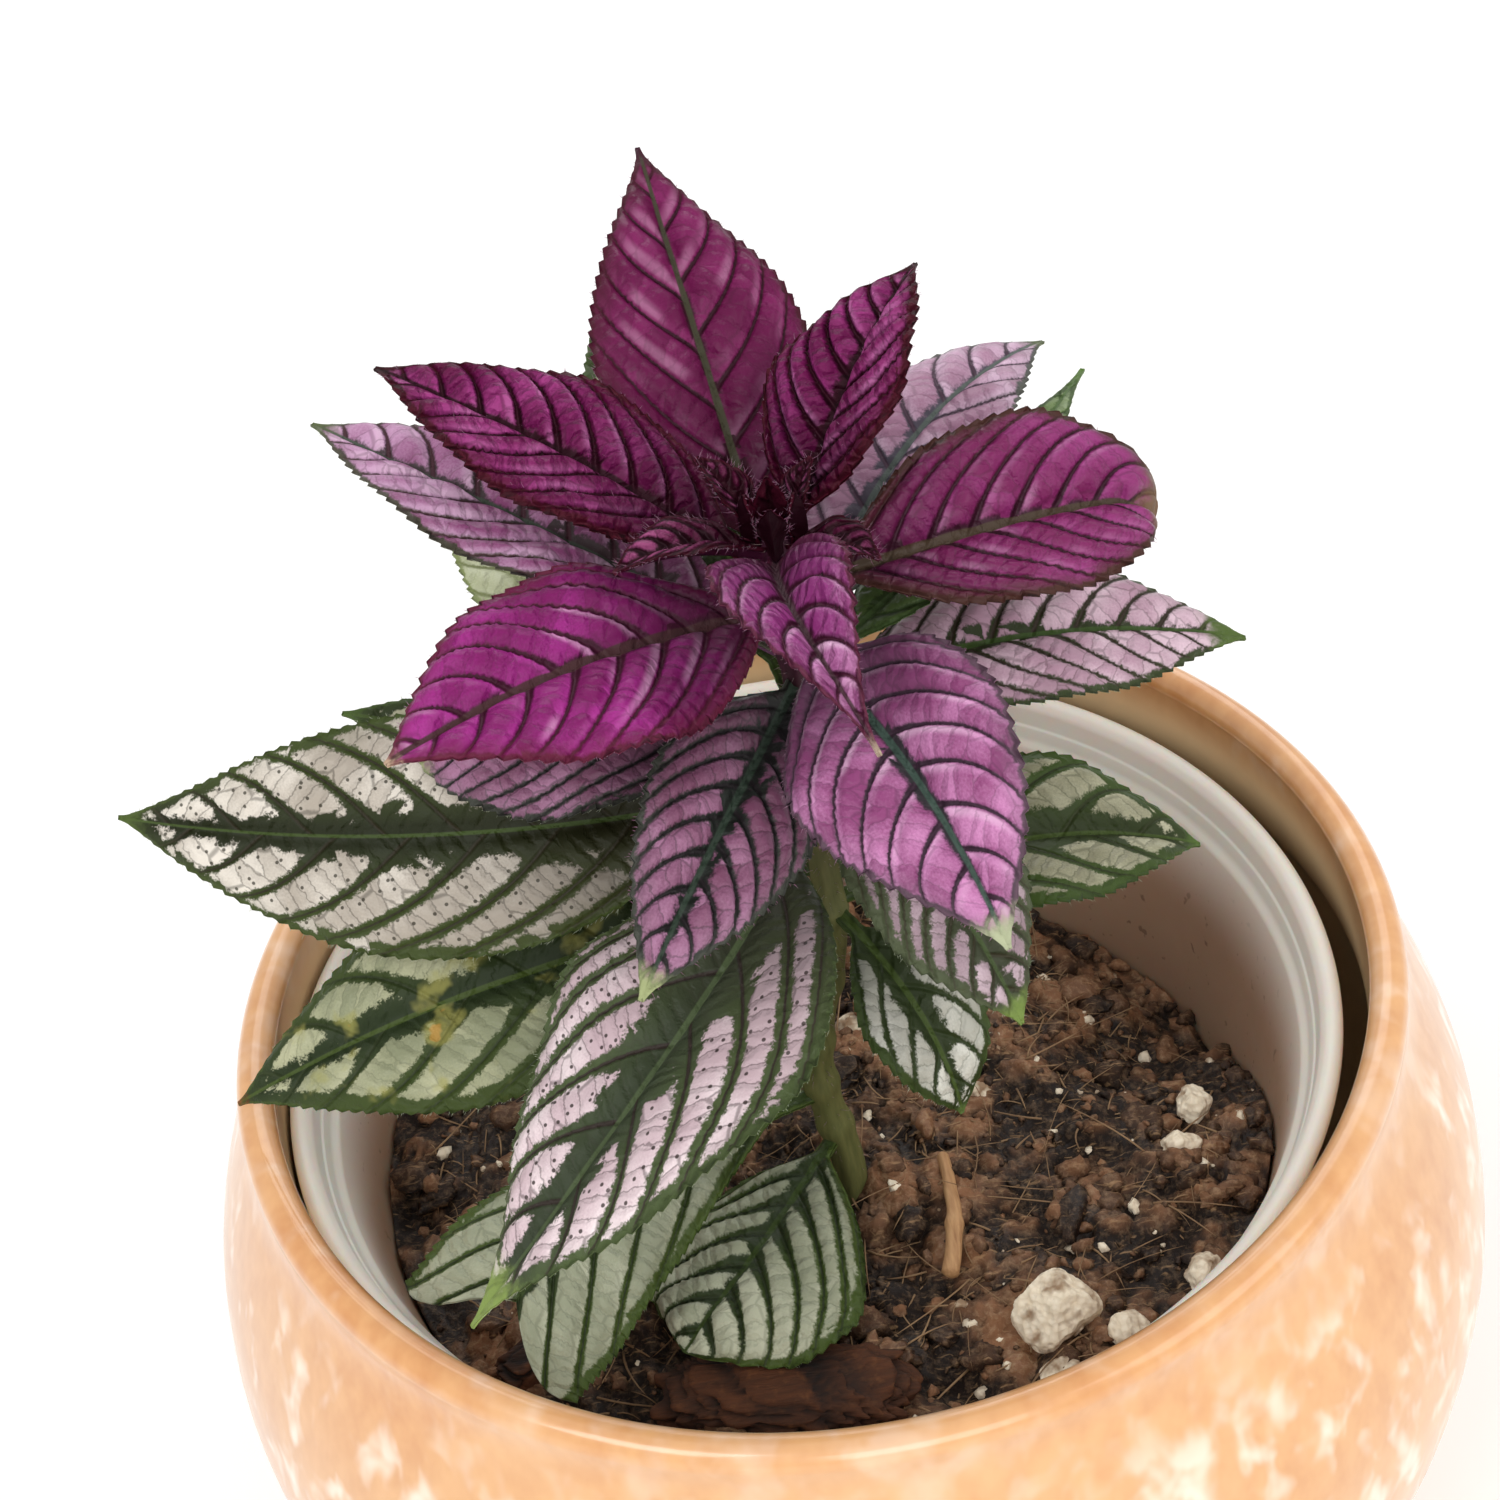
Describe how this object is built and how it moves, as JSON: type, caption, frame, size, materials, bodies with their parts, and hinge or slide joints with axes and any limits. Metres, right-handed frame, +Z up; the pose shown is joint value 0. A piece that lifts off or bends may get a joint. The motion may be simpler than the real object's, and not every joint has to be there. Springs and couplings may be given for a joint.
{
  "type": "potted persian shield plant",
  "caption": "Leafy house plant with purple, silver-marked pointed leaves on an upright stem, in a thin plastic grow pot of soil set inside a round glazed ceramic planter.",
  "frame": {"origin": "middle of the planter's flat foot", "axes": "+Z up along the planter's axis, the plant's front faces -Y, +X to its right"},
  "size_m": [0.138, 0.138, 0.174],
  "materials": {
    "glaze": "glossy mottled peach and cream glaze over clay",
    "pot_plastic": "thin milky white injection-moulded plastic, satin",
    "soil": "moist peat potting mix with fibres, crumbly and matt",
    "stem": "green-brown hairy stem skin",
    "twig": "dry peeled twig",
    "bark": "rough cracked bark",
    "perlite": "porous white expanded perlite",
    "crown_leaf": "youngest leaves, dark maroon with pale hairs",
    "young_leaf": "iridescent magenta leaf with dark sunken veins and toothed margin",
    "lilac_leaf": "lilac silvery leaf with green veins",
    "silver_leaf": "silver-pink patches between dark green veins, green margin",
    "shaded_leaf": "pale grey-green leaf with dark veins, satin"
  },
  "bodies": {
    "root": {"planter": "glaze", "nursery_pot": "pot_plastic", "soil": "soil", "stem": "stem", "twig": "twig", "bark_chunk": "bark", "bark_chip": "bark", "perlite_1": "perlite", "perlite_2": "perlite", "perlite_3": "perlite", "perlite_4": "perlite", "perlite_5": "perlite", "perlite_6": "perlite", "perlite_7": "perlite", "perlite_8": "perlite", "crown_leaf_left": "crown_leaf", "crown_leaf_right": "crown_leaf", "crown_leaf_back": "crown_leaf", "crown_leaf_inner": "crown_leaf", "leaf_top": "young_leaf", "leaf_top_right": "young_leaf", "leaf_top_left": "young_leaf", "leaf_right_curled": "young_leaf", "leaf_left_broad": "young_leaf", "leaf_front_small": "young_leaf", "leaf_front_right": "young_leaf", "leaf_front_left": "young_leaf", "leaf_left_lilac": "lilac_leaf", "leaf_right_lilac": "lilac_leaf", "leaf_back_right": "lilac_leaf", "leaf_left_under": "lilac_leaf", "leaf_front_under": "lilac_leaf", "leaf_back_narrow": "lilac_leaf", "leaf_back_hidden": "lilac_leaf", "leaf_left_silver": "silver_leaf", "leaf_left_old": "silver_leaf", "leaf_front_silver": "silver_leaf", "leaf_front_low": "silver_leaf", "leaf_right_green": "silver_leaf", "leaf_back_pale": "silver_leaf", "leaf_left_low": "silver_leaf", "leaf_soil_left": "shaded_leaf", "leaf_soil_front": "shaded_leaf", "shoot_leaf_outer": "shaded_leaf", "shoot_leaf_inner": "shaded_leaf", "shoot_leaf_green": "shaded_leaf"}
  },
  "joints": []
}
